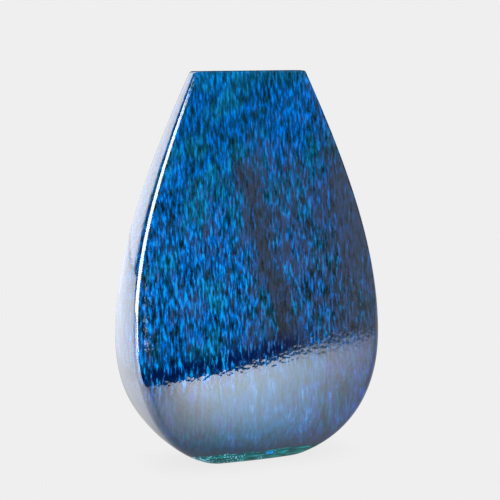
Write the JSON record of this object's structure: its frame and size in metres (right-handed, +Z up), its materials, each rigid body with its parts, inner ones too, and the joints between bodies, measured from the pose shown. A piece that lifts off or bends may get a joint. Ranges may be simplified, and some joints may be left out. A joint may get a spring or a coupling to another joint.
{
  "type": "stoneware vase",
  "caption": "Flattened teardrop stoneware vase with a narrow slot mouth, crisp side ridges and a small foot, in streaked blue glaze; holds stems, branches and water.",
  "frame": {"origin": "centre of the footprint, on the surface the vase stands on", "axes": "+Z up to the mouth, +X to the right along the broad face, front broad face towards -Y"},
  "size_m": [0.19, 0.064, 0.28],
  "materials": {
    "clay": "matt fired stoneware",
    "body_glaze": "high gloss, fine vertical blue streaks",
    "foot_glaze": "high gloss, pooled teal with pale crystals",
    "liner_glaze": "gloss, dark blue-green"
  },
  "bodies": {
    "root": {"front_slab": "clay", "back_slab": "clay", "left_side_slab": "clay", "right_side_slab": "clay", "base_slab": "clay", "foot_ring": "clay", "lip_coil": "clay", "seam_coil_front_left": "clay", "seam_coil_front_right": "clay", "seam_coil_back_left": "clay", "seam_coil_back_right": "clay", "body_glaze": "body_glaze", "foot_glaze": "foot_glaze", "liner_glaze": "liner_glaze"}
  },
  "joints": []
}
